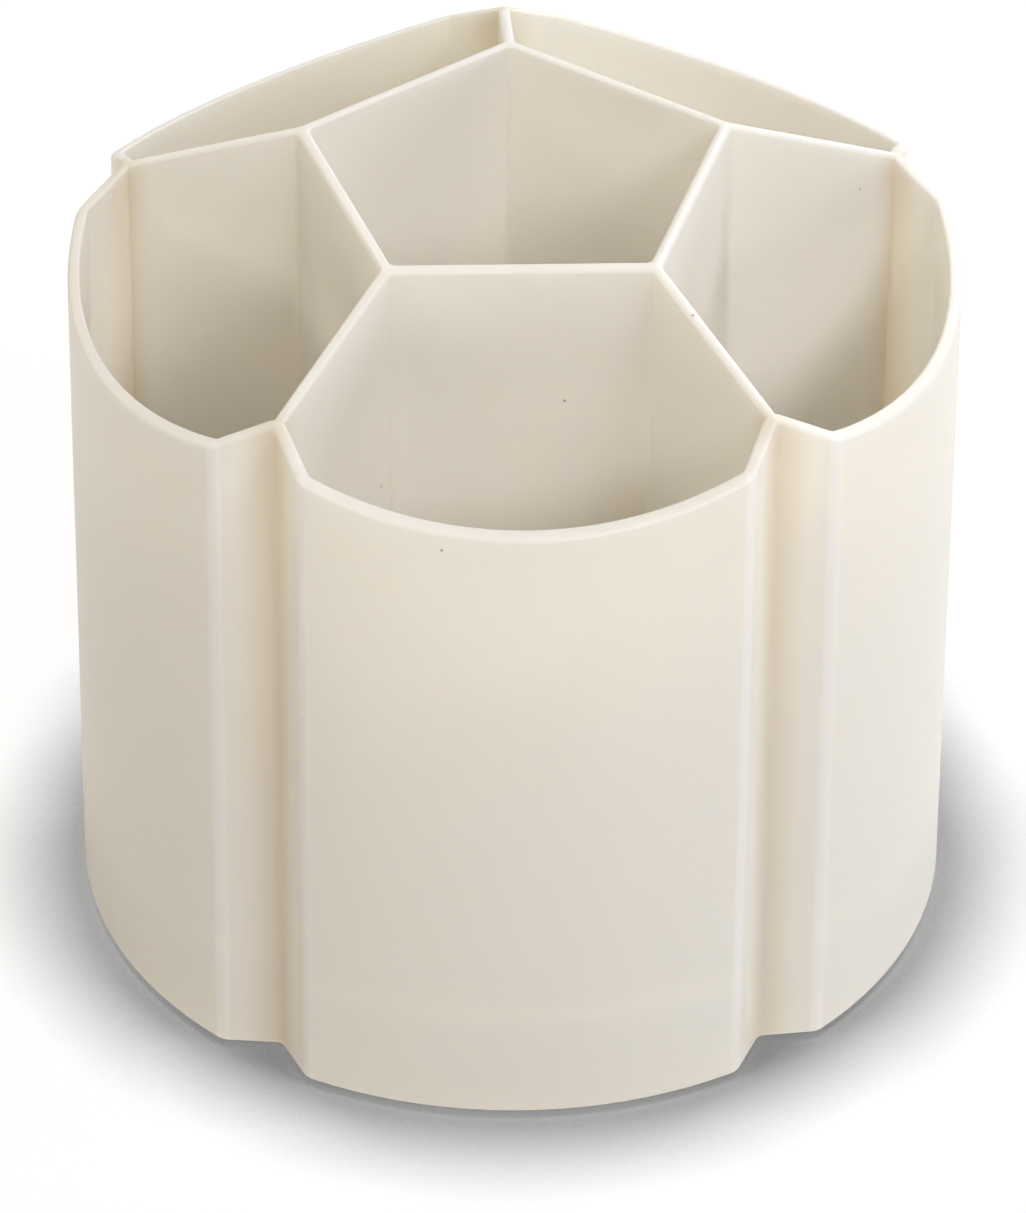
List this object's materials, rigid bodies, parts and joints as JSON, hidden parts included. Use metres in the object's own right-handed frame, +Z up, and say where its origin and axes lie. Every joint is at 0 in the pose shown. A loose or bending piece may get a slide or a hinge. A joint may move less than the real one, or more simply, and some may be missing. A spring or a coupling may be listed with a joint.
{
  "type": "rotating pen holder",
  "caption": "Round desk pen holder in cream plastic: a flower-shaped tub with a pentagonal centre compartment and bowed outer ones, turning on a roller base.",
  "frame": {"origin": "on the desk under the turning axis, at the level that the foot pads rest on", "axes": "+Z up along the turning axis; -Y towards the front outer compartment as pictured; +X to the right"},
  "size_m": [0.13, 0.1294, 0.125],
  "materials": {
    "tub_plastic": "satin",
    "base_plastic": "satin",
    "running_plastic": "satin",
    "roller_plastic": "satin",
    "pin_steel": "ground",
    "pivot_steel": "turned",
    "screw_steel": "zinc plated",
    "pad_rubber": "matt"
  },
  "bodies": {
    "base": {"base_disc": "base_plastic", "roller_pin_1": "pin_steel", "roller_pin_2": "pin_steel", "roller_pin_3": "pin_steel", "roller_pin_4": "pin_steel", "roller_pin_5": "pin_steel", "foot_pad_1": "pad_rubber", "foot_pad_2": "pad_rubber", "foot_pad_3": "pad_rubber", "foot_pad_4": "pad_rubber", "foot_pad_5": "pad_rubber"},
    "tub": {"pen_tub": "tub_plastic", "track_plate": "running_plastic", "plate_screws": "screw_steel", "pivot_bush": "pivot_steel", "pivot_washer": "pivot_steel", "pivot_screw": "screw_steel"},
    "roller_1": {"roller_1": "roller_plastic"},
    "roller_2": {"roller_2": "roller_plastic"},
    "roller_3": {"roller_3": "roller_plastic"},
    "roller_4": {"roller_4": "roller_plastic"},
    "roller_5": {"roller_5": "roller_plastic"}
  },
  "joints": [
    {"name": "tub_spin", "type": "hinge", "parent": "base", "child": "tub", "pos_m": [0, 0, 0.0044], "axis": [0, 0, 1], "continuous": true},
    {"name": "roller_1_roll", "type": "hinge", "parent": "base", "child": "roller_1", "pos_m": [0, -0.042, 0.0072], "axis": [0, -1, 0], "continuous": true},
    {"name": "roller_2_roll", "type": "hinge", "parent": "base", "child": "roller_2", "pos_m": [0.03994, -0.01298, 0.0072], "axis": [0.9511, -0.309, 0], "continuous": true},
    {"name": "roller_3_roll", "type": "hinge", "parent": "base", "child": "roller_3", "pos_m": [0.02469, 0.03398, 0.0072], "axis": [0.5878, 0.809, 0], "continuous": true},
    {"name": "roller_4_roll", "type": "hinge", "parent": "base", "child": "roller_4", "pos_m": [-0.02469, 0.03398, 0.0072], "axis": [-0.5878, 0.809, 0], "continuous": true},
    {"name": "roller_5_roll", "type": "hinge", "parent": "base", "child": "roller_5", "pos_m": [-0.03994, -0.01298, 0.0072], "axis": [-0.9511, -0.309, 0], "continuous": true}
  ],
  "couplings": [
    {"joint": "roller_1_roll", "follows": "tub_spin", "ratio": -12},
    {"joint": "roller_2_roll", "follows": "tub_spin", "ratio": -12},
    {"joint": "roller_3_roll", "follows": "tub_spin", "ratio": -12},
    {"joint": "roller_4_roll", "follows": "tub_spin", "ratio": -12},
    {"joint": "roller_5_roll", "follows": "tub_spin", "ratio": -12}
  ]
}
